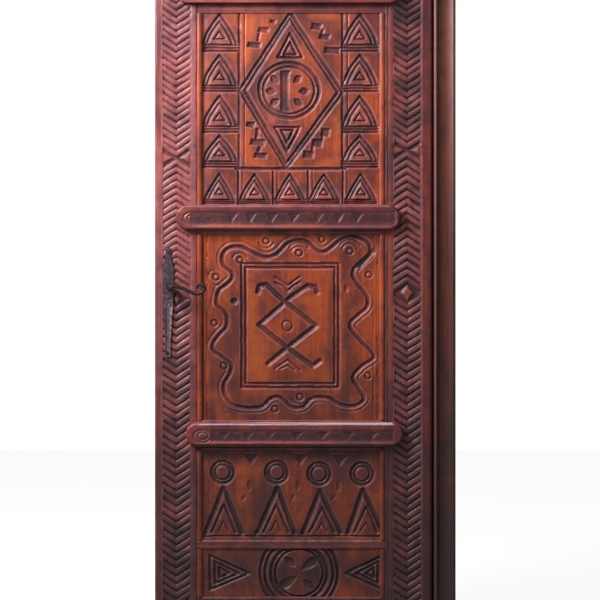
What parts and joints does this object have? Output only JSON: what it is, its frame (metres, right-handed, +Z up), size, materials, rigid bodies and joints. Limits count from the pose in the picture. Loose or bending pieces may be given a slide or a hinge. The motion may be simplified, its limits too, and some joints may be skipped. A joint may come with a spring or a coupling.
{
  "type": "carved wooden door in its frame",
  "caption": "Single carved wooden door leaf on top and bottom pivots in a timber frame, with battens, panels, chevron carved stiles, lever handles and a latch.",
  "frame": {"origin": "On the floor, under the middle of the door leaf, in the plane of the stiles' front face, which the person who pulls the door open looks at.", "axes": "+X runs from the lock side to the pivot side, +Y runs away from that person through the doorway, +Z is up."},
  "size_m": [0.903, 0.168, 2.11],
  "materials": {
    "carved_wood": "varnished red brown hardwood, hand carved and worn",
    "panel_wood": "varnished orange brown hardwood, hand carved, dark in the cuts",
    "frame_wood": "varnished red brown hardwood, planed and moulded",
    "black_iron": "black wrought iron, worn bright on the edges",
    "plain_steel": "plain steel"
  },
  "bodies": {
    "frame": {"hinge_post": "frame_wood", "strike_jamb": "frame_wood", "frame_head": "frame_wood", "frame_sill": "frame_wood", "strike_plate": "plain_steel", "upper_socket": "plain_steel", "lower_socket": "plain_steel"},
    "leaf": {"back_plate": "black_iron", "batten_pegs": "carved_wood", "bottom_panel": "panel_wood", "bottom_rail": "carved_wood", "figure_panel": "panel_wood", "front_plate": "black_iron", "hinge_stile": "carved_wood", "lever_spring": "plain_steel", "lock_case": "plain_steel", "lock_cover": "plain_steel", "lock_forend": "plain_steel", "lock_stile": "carved_wood", "low_rail": "carved_wood", "lower_batten": "carved_wood", "lower_pivot": "plain_steel", "middle_rail": "carved_wood", "panel_beads": "carved_wood", "plate_nails": "black_iron", "top_batten": "carved_wood", "top_rail": "carved_wood", "upper_batten": "carved_wood", "upper_panel": "panel_wood", "upper_pivot": "plain_steel", "upper_rail": "carved_wood", "vine_panel": "panel_wood"},
    "handle": {"front_lever": "black_iron", "back_lever": "black_iron", "spindle": "plain_steel", "follower": "plain_steel"},
    "latch": {"latch_bolt": "plain_steel"}
  },
  "joints": [
    {"name": "leaf_swing", "type": "hinge", "parent": "frame", "child": "leaf", "pos_m": [0.402, 0.015, 0.04], "axis": [0, 0, 1], "range_deg": [0, 95]},
    {"name": "handle_turn", "type": "hinge", "parent": "leaf", "child": "handle", "pos_m": [-0.372, 0, 1.091], "axis": [0, 1, 0], "range_deg": [0, 40], "stiffness_Nm_per_rad": 1.5, "springref_deg": -20.05},
    {"name": "latch_slide", "type": "slide", "parent": "leaf", "child": "latch", "axis": [1, 0, 0], "range_m": [0, 0.0121]}
  ],
  "couplings": [
    {"joint": "latch_slide", "follows": "handle_turn", "m_per_rad": 0.0172}
  ]
}
